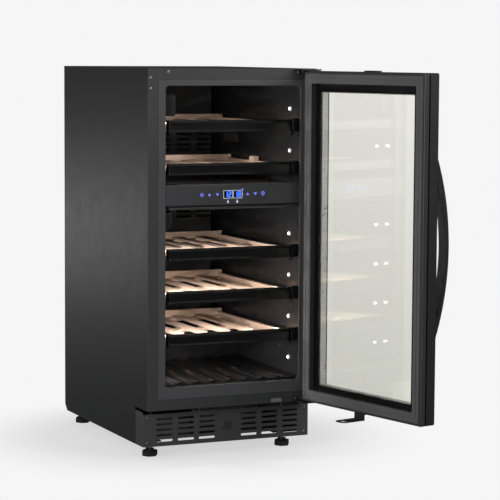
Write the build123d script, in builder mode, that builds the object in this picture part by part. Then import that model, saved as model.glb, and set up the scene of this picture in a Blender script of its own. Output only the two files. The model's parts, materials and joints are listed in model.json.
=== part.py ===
from build123d import *

import os

os.makedirs("parts", exist_ok=True)

# Undercounter two-zone wine cooler. Millimetres, +X to the viewer's right, +Y to the back, +Z up.
# The origin is the centre of the cabinet's footprint, on the floor. The door stands open at rest.

# ---- driving dimensions -------------------------------------------------------------------------
WIDTH = 380.0  # over the side panels
DEPTH = 518.0  # front frame to back panel, without the door
HEIGHT = 812.0  # floor to top panel
BASE = 29.5  # floor to the lowest sheet metal
SILL = 108.5  # underside of the front frame
SHEET = 0.8  # cabinet steel

CAVITY_HALF = 152.0  # half the inside width
CAVITY_FLOOR = 156.0
CEILING = 777.0
LINER = 1.5  # wall of the plastic liner
REAR_WALL_DEPTH = 484.0  # liner rear wall, behind the front frame's face
COVER_DEPTH = 452.0  # face of the evaporator covers
STEP_DEPTH = 318.0  # face of the step over the compressor
STEP_TOP = 230.0

SHELF_PITCH = 88.5
TOP_SHELF = 681.0  # underside of the front bar of the highest shelf
LOWER_SHELF = 416.5  # the same for the highest shelf of the lower zone
BAR_HEIGHT = 24.5
LED_RISE = 46.0  # lights above the bar's underside
RACK_HALF = 137.0
RACK_REAR = 386.0
SHORT_RACK_REAR = 336.0  # of the lower rack in the upper zone

DIVIDER_LOW, DIVIDER_HIGH = 532.0, 572.5
PANEL_LOW, PANEL_HIGH = 530.0, 574.0

DOOR_BOTTOM, DOOR_TOP = 113.0, 807.5
DOOR_GAP = 4.0  # cabinet face to the door's inner frame
INNER_FRAME = 11.0
DOOR_GROOVE = 3.5
OUTER_FRAME = 22.5
GLASS_HALF = 147.0  # half the sight opening
GLASS_LOW, GLASS_HIGH = 150.0, 765.0
PANE = 4.0
HINGE_X = 176.2
HINGE_OUT = 24.9  # hinge axis in front of the cabinet face
OPEN_ANGLE = 102.4  # door at rest, degrees from closed
PIN_RADIUS = 4.0
RUNNING = 0.05  # radial clearance of every turning fit

HANDLE_CHORD = 452.0
HANDLE_BOW = 54.5
HANDLE_BAR = 9.0
HANDLE_WIDTH = 22.0
HANDLE_X = -154.0

FOOT_X = 153.0
FOOT_DEPTHS = (82.0, 501.0)
FOOT_FLATS = 30.0
FOOT_PAD, FOOT_COLLAR = 12.0, 16.0  # heights of the hexagon and of the collar on it
STUD_RADIUS = 4.0
STUD_TOP = 92.0

# ---- places worked out from them ----------------------------------------------------------------
SIDE = WIDTH / 2
FRONT = -DEPTH / 2
REAR = DEPTH / 2
INNER_SIDE = SIDE - SHEET
SKIN_BACK = FRONT + 1.5  # back of the front frame's face sheet

SHELF_LEVELS = (
    TOP_SHELF,
    TOP_SHELF - SHELF_PITCH,
    LOWER_SHELF,
    LOWER_SHELF - SHELF_PITCH,
    LOWER_SHELF - 2 * SHELF_PITCH,
)
LED_HEIGHTS = tuple(level + LED_RISE for level in SHELF_LEVELS) + (197.0,)

DOOR_BACK = FRONT - DOOR_GAP
GROOVE_BACK = DOOR_BACK - INNER_FRAME
OUTER_BACK = GROOVE_BACK - DOOR_GROOVE
DOOR_FACE = OUTER_BACK - OUTER_FRAME
DOOR_MIDDLE = (DOOR_BOTTOM + DOOR_TOP) / 2
HINGE_Y = FRONT - HINGE_OUT
HINGE = Axis((HINGE_X, HINGE_Y, 0), (0, 0, 1))


def behind(depth):
    """The Y of a point this far behind the cabinet's front face."""
    return FRONT + depth


def facing(y):
    """A sketch plane at this Y that faces the viewer. Sketch x is X and sketch y is Z."""
    return Plane.XZ.offset(-y)


def block(x, y, z, mode=Mode.ADD):
    """A rectangular block between three (low, high) pairs, in the open part."""
    middle = tuple((low + high) / 2 for low, high in (x, y, z))
    with Locations(middle):
        Box(x[1] - x[0], y[1] - y[0], z[1] - z[0], mode=mode)


def grow(span, margin=1):
    """A (low, high) span widened at both ends, so that a cut runs right through."""
    return (span[0] - margin, span[1] + margin)


def slab(x, y, z):
    """A rectangular piece of its own between three (low, high) pairs."""
    with BuildPart() as piece:
        block(x, y, z)
    return piece.part


def rod(start, radius, length, direction=(0, 0, 1), mode=Mode.ADD):
    """A round rod from start along direction, in the open part."""
    with Locations(Plane(origin=start, z_dir=direction)):
        Cylinder(radius, length, align=(Align.CENTER, Align.CENTER, Align.MIN), mode=mode)


def ring(outer, inner, y, radii, mode=Mode.ADD):
    """A rectangular ring between two Y values. outer and inner are (half width, low z, high z)."""
    with BuildSketch(facing(y[0])) as outline:
        with Locations((0, (outer[1] + outer[2]) / 2)):
            RectangleRounded(2 * outer[0], outer[2] - outer[1], radii[0])
        with Locations((0, (inner[1] + inner[2]) / 2)):
            RectangleRounded(2 * inner[0], inner[2] - inner[1], radii[1], mode=Mode.SUBTRACT)
    extrude(outline.sketch, amount=y[0] - y[1], mode=mode)


def tub(half, z, y, radius, mode=Mode.ADD):
    """A block with rounded corners seen from the front, between two Y values."""
    with BuildSketch(facing(y[0])) as outline:
        with Locations((0, (z[0] + z[1]) / 2)):
            RectangleRounded(2 * half, z[1] - z[0], radius)
    extrude(outline.sketch, amount=y[0] - y[1], mode=mode)


def write(part, name):
    """Label a finished piece and write its own STEP file."""
    part.label = name
    export_step(part, f"parts/{name}.step")


def write_on_door(part, name):
    """The same for a piece of the door, which is drawn closed and stands open at rest."""
    write(part.rotate(HINGE, OPEN_ANGLE), name)


# ---- cabinet shell ------------------------------------------------------------------------------
FRAME_SCREWS = ((-184.4, 793.4), (-184.4, 771.8), (-145.8, 805.3))
BRACKET_SCREW_X = (146.0, 158.0)
TOP_BRACKET_SCREW_Z = 805.4
LOWER_BRACKET_SCREW_Z = 114.9
FACE_SCREW_HOLES = FRAME_SCREWS + tuple(
    (x, z) for x in BRACKET_SCREW_X for z in (TOP_BRACKET_SCREW_Z, LOWER_BRACKET_SCREW_Z)
)
SCREW_SHANK = 1.6

with BuildPart() as front_frame:
    ring((SIDE, SILL, HEIGHT), (154.2, 154.0, 779.2), (FRONT, SKIN_BACK), (2.0, 9.0))
    fillet(front_frame.faces().sort_by(Axis.Y)[0].outer_wire().edges(), 1.2)
    ring(
        (INNER_SIDE, SILL, HEIGHT - SHEET),
        (INNER_SIDE - 1.2, SILL + 1.2, HEIGHT - SHEET - 1.2),
        (SKIN_BACK, behind(14)),
        (1.6, 0.6),
    )
    for x, z in FACE_SCREW_HOLES:
        rod((x, FRONT - 1, z), SCREW_SHANK + 0.2, 4, (0, 1, 0), Mode.SUBTRACT)
    block((88.8, 113.2), (FRONT - 1, SKIN_BACK + 1), (SILL + 1.4, SILL + 10.2), Mode.SUBTRACT)
write(front_frame.part, "front_frame")


def side_panel(side):
    """One side sheet with its toe-kick notch and rear flange. side is -1 on the left, 1 on the right."""
    with BuildPart() as panel:
        with BuildSketch(Plane.YZ.offset(side * (SIDE - SHEET / 2))) as outline:
            Polygon(
                (SKIN_BACK, SILL),
                (SKIN_BACK, HEIGHT),
                (REAR, HEIGHT),
                (REAR, BASE + 14),
                (REAR - 14, BASE),
                (behind(72), BASE),
                (behind(72), SILL),
                align=None,
            )
        extrude(outline.sketch, amount=SHEET / 2, both=True)
        flange_x = sorted((side * INNER_SIDE, side * (INNER_SIDE - 14)))
        block(flange_x, (REAR - 2 * SHEET, REAR - SHEET), (64, HEIGHT - 2))
        for z in BACK_SCREW_HEIGHTS:
            hole = (side * BACK_SCREW_X, REAR - 4, z)
            rod(hole, SCREW_SHANK + 0.2, 6, (0, 1, 0), Mode.SUBTRACT)
    return panel.part


BACK_SCREW_X = 181.0
BACK_SCREW_HEIGHTS = (232.0, 420.0, 608.0, 796.0)
write(side_panel(-1), "left_side_panel")
write(side_panel(1), "right_side_panel")

with BuildPart() as top_panel:
    block((-INNER_SIDE, INNER_SIDE), (SKIN_BACK, REAR - SHEET), (HEIGHT - SHEET, HEIGHT))
write(top_panel.part, "top_panel")

BACK_PANEL_LOW = 214.0
with BuildPart() as back_panel:
    block(
        (-INNER_SIDE + 0.2, INNER_SIDE - 0.2),
        (REAR - SHEET, REAR),
        (BACK_PANEL_LOW, HEIGHT - 0.2),
    )
    for x in (-BACK_SCREW_X, BACK_SCREW_X):
        for z in BACK_SCREW_HEIGHTS:
            rod((x, REAR - 4, z), SCREW_SHANK + 0.2, 6, (0, 1, 0), Mode.SUBTRACT)
write(back_panel.part, "back_panel")

# ---- liner, insulation and machine-room plate ---------------------------------------------------
NUB_DEPTH = 230.0
NUB_RISE = 28.0  # above the bar's underside
OUT = CAVITY_HALF + LINER
REAR_WALL = behind(REAR_WALL_DEPTH)
STEP_FACE = behind(STEP_DEPTH)

with BuildPart() as inner_liner:
    tub(OUT, (CAVITY_FLOOR - LINER, CEILING + LINER), (FRONT, STEP_FACE + LINER), 9)
    tub(OUT, (STEP_TOP - LINER, CEILING + LINER), (FRONT, REAR_WALL + LINER), 9)
    tub(166.5, (131.4, 788.0), (FRONT - 1.5, FRONT), 2)
    fillet(inner_liner.faces().sort_by(Axis.Y)[0].outer_wire().edges(), 0.9)
    tub(CAVITY_HALF, (CAVITY_FLOOR, CEILING), (FRONT - 2, STEP_FACE), 8, Mode.SUBTRACT)
    tub(CAVITY_HALF, (STEP_TOP, CEILING), (FRONT, REAR_WALL), 8, Mode.SUBTRACT)
    for side in (-1, 1):
        for level in SHELF_LEVELS:
            with BuildSketch(Plane.YZ.offset(side * (CAVITY_HALF - 1.2))) as nub:
                with Locations((behind(NUB_DEPTH), level + NUB_RISE)):
                    SlotOverall(31, 4)
            extrude(nub.sketch, amount=1.3, both=True)
write(inner_liner.part, "inner_liner")

FOAM_FRONT = behind(15)
FOAM_BACK = REAR - 2 * SHEET
STEP_BACK = STEP_FACE + 28
MACHINE_ROOM_TOP = 200.0
FOAM_IN = OUT + 0.1
FOAM_TOP = HEIGHT - SHEET
FOAM_BOTTOM = SILL + 3
ACROSS = (-FOAM_IN, FOAM_IN)
UNDER_FLOOR = CAVITY_FLOOR - LINER - 0.1
UNDER_STEP = STEP_TOP - LINER - 0.1
OVER_CEILING = CEILING + LINER + 0.1
BEHIND_WALL = REAR_WALL + LINER + 0.1
slabs = [
    slab(ACROSS, (FOAM_FRONT, FOAM_BACK), (OVER_CEILING, FOAM_TOP)),
    slab(ACROSS, (BEHIND_WALL, FOAM_BACK), (MACHINE_ROOM_TOP, OVER_CEILING)),
    slab(ACROSS, (FOAM_FRONT, STEP_BACK), (FOAM_BOTTOM, UNDER_FLOOR)),
    slab(ACROSS, (STEP_FACE + LINER + 0.1, STEP_BACK), (UNDER_FLOOR, UNDER_STEP)),
    slab(ACROSS, (STEP_BACK, BEHIND_WALL), (MACHINE_ROOM_TOP, UNDER_STEP)),
]
for low, high in ((-INNER_SIDE, -FOAM_IN), (FOAM_IN, INNER_SIDE)):
    slabs.append(slab((low, high), (FOAM_FRONT, STEP_BACK), (FOAM_BOTTOM, FOAM_TOP)))
    slabs.append(slab((low, high), (STEP_BACK, FOAM_BACK), (MACHINE_ROOM_TOP, FOAM_TOP)))
write(Compound(children=slabs), "insulation")

with BuildPart() as bottom_plate:
    inside = (-INNER_SIDE, INNER_SIDE)
    block(inside, (behind(14), STEP_BACK + SHEET), (SILL + 3 - SHEET, SILL + 3))
    block(inside, (STEP_BACK, STEP_BACK + SHEET), (SILL + 3 - SHEET, MACHINE_ROOM_TOP))
    block(inside, (STEP_BACK, FOAM_BACK), (MACHINE_ROOM_TOP - SHEET, MACHINE_ROOM_TOP))
write(bottom_plate.part, "bottom_plate")

# ---- zone divider and controls ------------------------------------------------------------------
DIVIDER_HALF = 151.6
DIVIDER_SHELL = 2.0
with BuildPart() as zone_divider:
    block((-DIVIDER_HALF, DIVIDER_HALF), (behind(10), REAR_WALL - 0.4), (DIVIDER_LOW, DIVIDER_HIGH))
    fillet(zone_divider.edges().filter_by(Axis.X).group_by(Axis.Y)[0], 1.0)
    block(
        (DIVIDER_SHELL - DIVIDER_HALF, DIVIDER_HALF - DIVIDER_SHELL),
        (behind(12), REAR_WALL),
        (DIVIDER_LOW + DIVIDER_SHELL, DIVIDER_HIGH - DIVIDER_SHELL),
        Mode.SUBTRACT,
    )
write(zone_divider.part, "zone_divider")

DISPLAY_X = (-22.3, 20.8)
DISPLAY_Z = (544.0, 561.0)
PANEL_FACE = behind(0.6)
with BuildPart() as control_panel:
    block((-151.7, 151.5), (PANEL_FACE, behind(9.8)), (PANEL_LOW, PANEL_HIGH))
    fillet(control_panel.edges().filter_by(Axis.X).group_by(Axis.Y)[0], 2.5)
    block(
        (DISPLAY_X[0] - 0.2, DISPLAY_X[1] + 0.2),
        (PANEL_FACE - 1, PANEL_FACE + 1.2),
        (DISPLAY_Z[0] - 0.2, DISPLAY_Z[1] + 0.2),
        Mode.SUBTRACT,
    )
write(control_panel.part, "control_panel")

with BuildPart() as display_module:
    block(DISPLAY_X, (PANEL_FACE + 0.1, PANEL_FACE + 1.2), DISPLAY_Z)
write(display_module.part, "display_module")

TRIM_Z = 525.5
with BuildPart() as divider_trim_bar:
    rod((-143, behind(4), TRIM_Z), 3.0, 293, (1, 0, 0))
    block((-143, 150), (behind(4), behind(30)), (TRIM_Z - 0.8, TRIM_Z + 0.8))
    block((-143, 150), (behind(26), behind(30)), (TRIM_Z, DIVIDER_LOW))
write(divider_trim_bar.part, "divider_trim_bar")

# ---- evaporator covers, evaporators and their fans ----------------------------------------------
COVER = behind(COVER_DEPTH)
COVER_HALF = 144.0
VENT_PITCH = 49.6
VENT_SIZE = (35.6, 5.4)
VENT_ROWS = 4
VENT_ROW_PITCH = 11.9


def evaporator_cover(low, high, vent_low):
    """A rear-wall cover with return edges and four rows of vent slots. vent_low is the lowest row's Z."""
    with BuildPart() as cover:
        block((-COVER_HALF, COVER_HALF), (COVER, REAR_WALL - 0.2), (low, high))
        fillet(cover.edges().filter_by(Axis.Z).group_by(Axis.Y)[0], 3)
        block(
            (2 - COVER_HALF, COVER_HALF - 2),
            (COVER + 2, REAR_WALL + 1),
            (low + 2, high - 2),
            Mode.SUBTRACT,
        )
        with BuildSketch(facing(COVER - 1)) as vents:
            with Locations((0, vent_low + (VENT_ROWS - 1) * VENT_ROW_PITCH / 2)):
                with GridLocations(VENT_PITCH, VENT_ROW_PITCH, 6, VENT_ROWS):
                    SlotOverall(*VENT_SIZE)
        extrude(vents.sketch, amount=-4, mode=Mode.SUBTRACT)
    return cover.part


UPPER_COVER = (DIVIDER_HIGH + 0.5, CEILING - 0.5)
LOWER_COVER = (STEP_TOP + 0.5, DIVIDER_LOW - 0.5)
covers = [evaporator_cover(*UPPER_COVER, 622.6), evaporator_cover(*LOWER_COVER, 470.0)]
write(Compound(children=covers), "evaporator_covers")

FAN_SIZE = 80.0
FAN_RADIUS = 36.0
FAN_DEPTH = 18.0
FAN_FRONT = COVER + 6
EVAPORATOR_FANS = {"upper": (-85.0, 715.0), "lower": (-85.0, 420.0)}
CONDENSER_FAN = (60.0, 71.0)
CONDENSER_FAN_FRONT = behind(236)
HUB_RADIUS = 13.0
SPINDLE = 1.5


def fan_frame(x, z, front):
    """A square fan frame with four spokes, a motor cup and a fixed spindle."""
    back = front + FAN_DEPTH
    edge = FAN_SIZE / 2
    with BuildPart() as frame:
        block((x - edge, x + edge), (front, back), (z - edge + 0.5, z + edge - 0.5))
        rod((x, front - 1, z), FAN_RADIUS + 1.5, FAN_DEPTH + 2, (0, 1, 0), Mode.SUBTRACT)
        block((x - edge + 1, x + edge - 1), (back - 2, back), (z - 2, z + 2))
        block((x - 2, x + 2), (back - 2, back), (z - edge + 1, z + edge - 1))
        rod((x, back - 3, z), HUB_RADIUS, 3, (0, 1, 0))
        rod((x, back - 13, z), SPINDLE, 11, (0, 1, 0))
    return frame.part


def fan_rotor(x, z, front):
    """The hub and seven pitched blades, with a bore that runs on the spindle."""
    front, back = front + 2, front + FAN_DEPTH - 4.5
    blade_length = FAN_RADIUS - HUB_RADIUS + 1
    with BuildPart() as rotor:
        rod((x, front, z), HUB_RADIUS, back - front, (0, 1, 0))
        with Locations(Plane(origin=(x, (front + back) / 2, z), z_dir=(0, 1, 0))):
            with PolarLocations(FAN_RADIUS - blade_length / 2, 7):
                Box(blade_length, 13, 1.6, rotation=(35, 0, 0))
        rod((x, front + 1, z), SPINDLE + RUNNING, back - front, (0, 1, 0), Mode.SUBTRACT)
    return rotor.part


frames = [fan_frame(*place, FAN_FRONT) for place in EVAPORATOR_FANS.values()]
frames.append(fan_frame(*CONDENSER_FAN, CONDENSER_FAN_FRONT))
write(Compound(children=frames), "fan_frames")
for zone, place in EVAPORATOR_FANS.items():
    write(fan_rotor(*place, FAN_FRONT), f"{zone}_fan_rotor")
write(fan_rotor(*CONDENSER_FAN, CONDENSER_FAN_FRONT), "condenser_fan_rotor")


def finned_block(x, y, z, pitch):
    """Fins standing across X, joined by tubes that run through them along X."""
    with BuildPart() as coil:
        block(x, y, z)
        gaps = int((x[1] - x[0] - pitch) / pitch)
        start = (x[0] + x[1]) / 2 - (gaps - 1) * pitch / 2
        for index in range(gaps):
            middle = start + index * pitch
            block((middle - pitch / 3, middle + pitch / 3), grow(y), grow(z), Mode.SUBTRACT)
        rows = int((z[1] - z[0]) / 22)
        for row in range(rows):
            height = (z[0] + z[1]) / 2 + (row - (rows - 1) / 2) * 22
            rod((x[0] - 6, (y[0] + y[1]) / 2, height), 4, x[1] - x[0] + 12, (1, 0, 0))
    return coil.part


coil_depth = (COVER + 5, REAR_WALL - 4)
coils = [finned_block((-20, 125), coil_depth, (low, low + 90), 5.0) for low in (672, 375)]
write(Compound(children=coils), "evaporators")

# ---- small fittings inside the cavity -----------------------------------------------------------
LED_DEPTH = 48.5
LENS_RADIUS, LENS_RISE = 5.5, 3.0
dome_radius = (LENS_RADIUS**2 + LENS_RISE**2) / (2 * LENS_RISE)
with BuildPart() as lens:
    with Locations((0, 0, LENS_RISE - dome_radius)):
        Sphere(dome_radius)
    split(bisect_by=Plane.XY, keep=Keep.TOP)
with BuildPart() as led_lenses:
    for side in (-1, 1):
        for z in LED_HEIGHTS:
            with Locations(Plane(origin=(side * CAVITY_HALF, behind(LED_DEPTH), z), z_dir=(-side, 0, 0))):
                add(lens.part)
write(led_lenses.part, "led_lenses")

SLIDE_THICK = 12.4
SLIDE_FRONT, SLIDE_REAR = 36.0, 372.0
SLIDE_HEIGHT = 17.0
RUNNER_HEIGHT = 10.0
RUNNER_INSET = 0.4  # side clearance of the runner in its channel


def slide_channel(side, level):
    """A wall-mounted C channel with a wedge bracket under its front end."""
    low, high = level + 2, level + 2 + SLIDE_HEIGHT
    wall, mouth = CAVITY_HALF, CAVITY_HALF - SLIDE_THICK
    x = sorted((side * wall, side * mouth))
    with BuildPart() as channel:
        block(x, (behind(SLIDE_FRONT), behind(SLIDE_REAR)), (low, high))
        gap = (low + high) / 2
        inner = sorted((side * (wall - 2), side * (mouth - 1)))
        half = RUNNER_HEIGHT / 2 + RUNNER_INSET
        length = (behind(SLIDE_FRONT - 1), behind(SLIDE_REAR - 4))
        block(inner, length, (gap - half, gap + half), Mode.SUBTRACT)
        with BuildSketch(Plane.YZ.offset(side * (wall - 2))) as wedge:
            front = behind(SLIDE_FRONT)
            Polygon((front, low), (front + 42, low), (front, low - 12), align=None)
        extrude(wedge.sketch, amount=2, both=True)
    return channel.part


channels = [slide_channel(side, level) for side in (-1, 1) for level in SHELF_LEVELS]
write(Compound(children=channels), "shelf_slides")

TRAY_HALF = 150.0
TRAY_TOP = 165.0
TRAY_WAVES = 8
TRAY_DIP = 5.0
tray_pitch = 2 * TRAY_HALF / TRAY_WAVES
with BuildPart() as bottle_tray:
    with BuildSketch(facing(behind(10))) as wave:
        with BuildLine():
            Polyline(
                (-TRAY_HALF, TRAY_TOP),
                (-TRAY_HALF, CAVITY_FLOOR),
                (TRAY_HALF, CAVITY_FLOOR),
                (TRAY_HALF, TRAY_TOP),
            )
            for index in range(TRAY_WAVES):
                left = -TRAY_HALF + index * tray_pitch
                right = left + tray_pitch
                ThreePointArc((left, TRAY_TOP), ((left + right) / 2, TRAY_TOP - TRAY_DIP), (right, TRAY_TOP))
        make_face()
    extrude(amount=-(STEP_DEPTH - 2 - 10))
    corner_edges = bottle_tray.edges().filter_by(Axis.Y).group_by(Axis.Z)[0]
    fillet(corner_edges, 7)
write(bottle_tray.part, "bottle_tray")

CARTRIDGES = ((714, 757, 28), (485, 516, 20))  # low Z, high Z and reach from the left wall
with BuildPart() as filter_cartridges:
    for low, high, reach in CARTRIDGES:
        block((-CAVITY_HALF, reach - CAVITY_HALF), (behind(14), behind(41)), (low, high))
    fillet(filter_cartridges.edges().filter_by(Axis.Y), 4)
write(filter_cartridges.part, "filter_cartridges")

with BuildPart() as sensor_cover:
    block((CAVITY_HALF - 9, CAVITY_HALF), (behind(321), behind(377)), (645, 663))
    fillet(sensor_cover.edges().filter_by(Axis.X), 2)
write(sensor_cover.part, "sensor_cover")

# ---- base, kickplate and feet -------------------------------------------------------------------
PAN = 1.2
PAN_TOP = BASE + PAN
PAN_FRONT = 95.0
GLAND = (-150.0, 48.0)
foot_places = [(x, behind(depth)) for x in (-FOOT_X, FOOT_X) for depth in FOOT_DEPTHS]
with BuildPart() as base_pan:
    block((-INNER_SIDE, INNER_SIDE), (behind(74), REAR - SHEET), (BASE, PAN_TOP))
    block((-129, 129), (behind(73), behind(PAN_FRONT)), (BASE - 1, PAN_TOP + 1), Mode.SUBTRACT)
    for low, high in ((-INNER_SIDE, PAN - INNER_SIDE), (INNER_SIDE - PAN, INNER_SIDE)):
        block((low, high), (behind(74), REAR - SHEET), (BASE, 62))
    block((-INNER_SIDE, INNER_SIDE), (REAR - SHEET - PAN, REAR - SHEET), (BASE, 62))
    for x, y in foot_places:
        rod((x, y, PAN_TOP), 8, 9)
        rod((x, y, BASE - 1), STUD_RADIUS + RUNNING, 14, mode=Mode.SUBTRACT)
    for corner in (-INNER_SIDE, INNER_SIDE):
        low, high = sorted((corner, corner - 8 * corner / INNER_SIDE))
        block((low, high), (REAR - 16, REAR), (BASE - 1, BASE + 16), Mode.SUBTRACT)
    rod((GLAND[0], REAR - 5, GLAND[1]), 8.2, 6, (0, 1, 0), Mode.SUBTRACT)
write(base_pan.part, "base_pan")

KICK_FACE = behind(27.5)
KICK_TOP = 97.5
KICK_EAR = 5.0  # the side returns stand this far above the front
KICK_HALF = SIDE - 0.6
KICK_COLUMNS = (-141.5, -93.3, -46.0, 50.5, 98.0, 145.5)
KICK_ROWS = (86.0, 75.2, 63.8, 52.3, 40.7)
KICK_SLOT = (36.5, 4.8)
KICK_SCREWS = tuple((x, z) for x in (-180.0, 180.0) for z in (90.0, 37.5))
LOCK_Z = 63.0
LOCK_RADIUS = 11.0
KICK_SHEET = 1.2
with BuildPart() as kickplate:
    block((-KICK_HALF, KICK_HALF), (KICK_FACE, behind(72)), (BASE, KICK_TOP))
    fillet(kickplate.edges().filter_by(Axis.Z).group_by(Axis.Y)[0], 1.5)
    fillet(kickplate.edges().filter_by(Axis.X).group_by(Axis.Y)[0].sort_by(Axis.Z)[-1], 2.0)
    inside = (KICK_SHEET - KICK_HALF, KICK_HALF - KICK_SHEET)
    block(inside, (KICK_FACE + KICK_SHEET, behind(73)), (BASE - 1, KICK_TOP + 1), Mode.SUBTRACT)
    for corner in (-KICK_HALF, KICK_HALF - KICK_SHEET):
        block((corner, corner + KICK_SHEET), (behind(31), behind(72)), (KICK_TOP - 1, KICK_TOP + KICK_EAR))
    block((-186, 186), (KICK_FACE - 2.2, KICK_FACE + KICK_SHEET), (BASE, BASE + 3.2))
    with BuildSketch(facing(KICK_FACE - 1)) as slots:
        for x in KICK_COLUMNS:
            for z in KICK_ROWS:
                with Locations((x, z)):
                    SlotOverall(*KICK_SLOT)
    extrude(slots.sketch, amount=-4, mode=Mode.SUBTRACT)
    for x, z in KICK_SCREWS:
        rod((x, KICK_FACE - 1, z), SCREW_SHANK + 0.2, 4, (0, 1, 0), Mode.SUBTRACT)
    rod((0, KICK_FACE - 1, LOCK_Z), LOCK_RADIUS - 1.5, 4, (0, 1, 0), Mode.SUBTRACT)
write(kickplate.part, "kickplate")

with BuildPart() as foot:
    with BuildSketch() as pad:
        RegularPolygon(FOOT_FLATS / 2, 6, major_radius=False)
    extrude(amount=FOOT_PAD)
    chamfer(foot.faces().sort_by(Axis.Z)[0].edges(), 1.5)
    fillet(foot.faces().sort_by(Axis.Z)[-1].edges(), 1.5)
    rod((0, 0, FOOT_PAD), 9, FOOT_COLLAR - FOOT_PAD)
    rod((0, 0, FOOT_COLLAR), STUD_RADIUS, STUD_TOP - FOOT_COLLAR)
for corner, (x, y) in zip(("front_left", "rear_left", "front_right", "rear_right"), foot_places):
    write(foot.part.moved(Location((x, y, 0))), f"{corner}_foot")

# ---- key lock -----------------------------------------------------------------------------------
CAM_DEPTH = 36.0
PLUG_RADIUS = 6.0
with BuildPart() as lock_barrel:
    rod((0, KICK_FACE - 2, LOCK_Z), LOCK_RADIUS, 2, (0, 1, 0))
    fillet(lock_barrel.edges().sort_by(Axis.Y)[0], 0.8)
    rod((0, KICK_FACE, LOCK_Z), LOCK_RADIUS - 1.7, 7, (0, 1, 0))
    rod((0, KICK_FACE - 3, LOCK_Z), PLUG_RADIUS + RUNNING, 12, (0, 1, 0), Mode.SUBTRACT)
write(lock_barrel.part, "lock_barrel")

with BuildPart() as lock_plug:
    rod((0, KICK_FACE - 1.6, LOCK_Z), PLUG_RADIUS, behind(CAM_DEPTH) - KICK_FACE + 1.6, (0, 1, 0))
    block((-0.9, 0.9), (KICK_FACE - 2, KICK_FACE + 3), (LOCK_Z - 3.2, LOCK_Z + 3.2), Mode.SUBTRACT)
    with BuildSketch(facing(behind(CAM_DEPTH))) as cam:
        with Locations((0, LOCK_Z)):
            SlotCenterPoint((18.5, 0), (37, 0), 10)
    extrude(cam.sketch, amount=-2)
write(lock_plug.part, "lock_plug")

# ---- machine room -------------------------------------------------------------------------------
COMPRESSOR = (-80.0, behind(432))
GROMMET_SPACING = (116, 96)
with BuildPart() as compressor:
    with BuildSketch(Plane.XZ) as dome:
        Polygon((0, 44), (60, 44), (60, 140), (44, 172), (0, 180), align=None)
        corners = dome.vertices().filter_by(lambda corner: corner.X > 30)
        fillet(corners, 10)
    revolve(axis=Axis.Z)
    with Locations((0, 0, 105)):
        Cylinder(63, 5)
    block((-70, 70), (-58, 58), (41.5, 44))
    block((52, 76), (-22, 22), (80, 128))
    with Locations((0, 0, 44)):
        with GridLocations(*GROMMET_SPACING, 2, 2):
            Hole(5, depth=3)
write(compressor.part.moved(Location((*COMPRESSOR, 0))), "compressor")

with BuildPart() as compressor_grommets:
    with Locations((*COMPRESSOR, PAN_TOP)):
        with GridLocations(*GROMMET_SPACING, 2, 2):
            Cylinder(9, 41.5 - PAN_TOP, align=(Align.CENTER, Align.CENTER, Align.MIN))
write(compressor_grommets.part, "compressor_grommets")

write(finned_block((-10, 130), (behind(160), behind(212)), (PAN_TOP, 106), 6.0), "condenser")

with BuildPart() as drip_tray:
    block((30, 165), (behind(372), behind(492)), (PAN_TOP, 58))
    fillet(drip_tray.edges().filter_by(Axis.Z), 8)
    offset(amount=-2, openings=drip_tray.faces().sort_by(Axis.Z)[-1])
DRAIN = (100, behind(440), 48)
drain_length = MACHINE_ROOM_TOP - SHEET - DRAIN[2]
with BuildPart() as drain_tube:
    rod(DRAIN, 7, drain_length)
    rod((DRAIN[0], DRAIN[1], DRAIN[2] - 1), 5, drain_length + 2, mode=Mode.SUBTRACT)
write(Compound(children=[drip_tray.part, drain_tube.part]), "drip_tray_and_drain")

with BuildPart() as electronics_box:
    block((118, 186), (behind(352), behind(470)), (122, 186))
    fillet(electronics_box.edges().filter_by(Axis.Z), 3)
    block((150, 156), (behind(360), behind(460)), (186, MACHINE_ROOM_TOP - SHEET))
write(electronics_box.part, "electronics_box")

PIPE = 3.2


def pipe(points, radius):
    """A copper pipe along straight runs joined by bends."""
    with BuildPart() as tube:
        with BuildLine() as path:
            FilletPolyline(*points, radius=radius)
        with BuildSketch(Plane(origin=path.line @ 0, z_dir=path.line % 0)) as section:
            Circle(PIPE)
        sweep(section.sketch, path=path.line)
    return tube.part


cx, cy = COMPRESSOR
shell = cx - 60.2
low_run = behind(186)
discharge = pipe(((shell, cy, 70), (cx - 88, cy, 70), (cx - 88, low_run, 70), (-16.2, low_run, 70)), 18)
suction = pipe(((shell, cy, 125), (cx - 84, cy, 125), (cx - 84, cy, MACHINE_ROOM_TOP - SHEET)), 16)
write(Compound(children=[discharge, suction]), "refrigerant_pipes")

with BuildPart() as cord_gland:
    rod((GLAND[0], REAR - SHEET, GLAND[1]), 11, 3, (0, 1, 0))
    rod((GLAND[0], REAR - 10, GLAND[1]), 8, 10, (0, 1, 0))
    rod((GLAND[0], REAR - 12, GLAND[1]), 3.6, 16, (0, 1, 0), Mode.SUBTRACT)
write(cord_gland.part, "cord_gland")

# ---- hinges, screws and door sensor -------------------------------------------------------------
TOP_PLATE = (808.4, 810.9)
LOWER_PLATE = (108.9, 111.4)
BRACKET_X = (141.0, 187.0)
FLANGE_END = 164.0
FLANGE = 2.0


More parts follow.
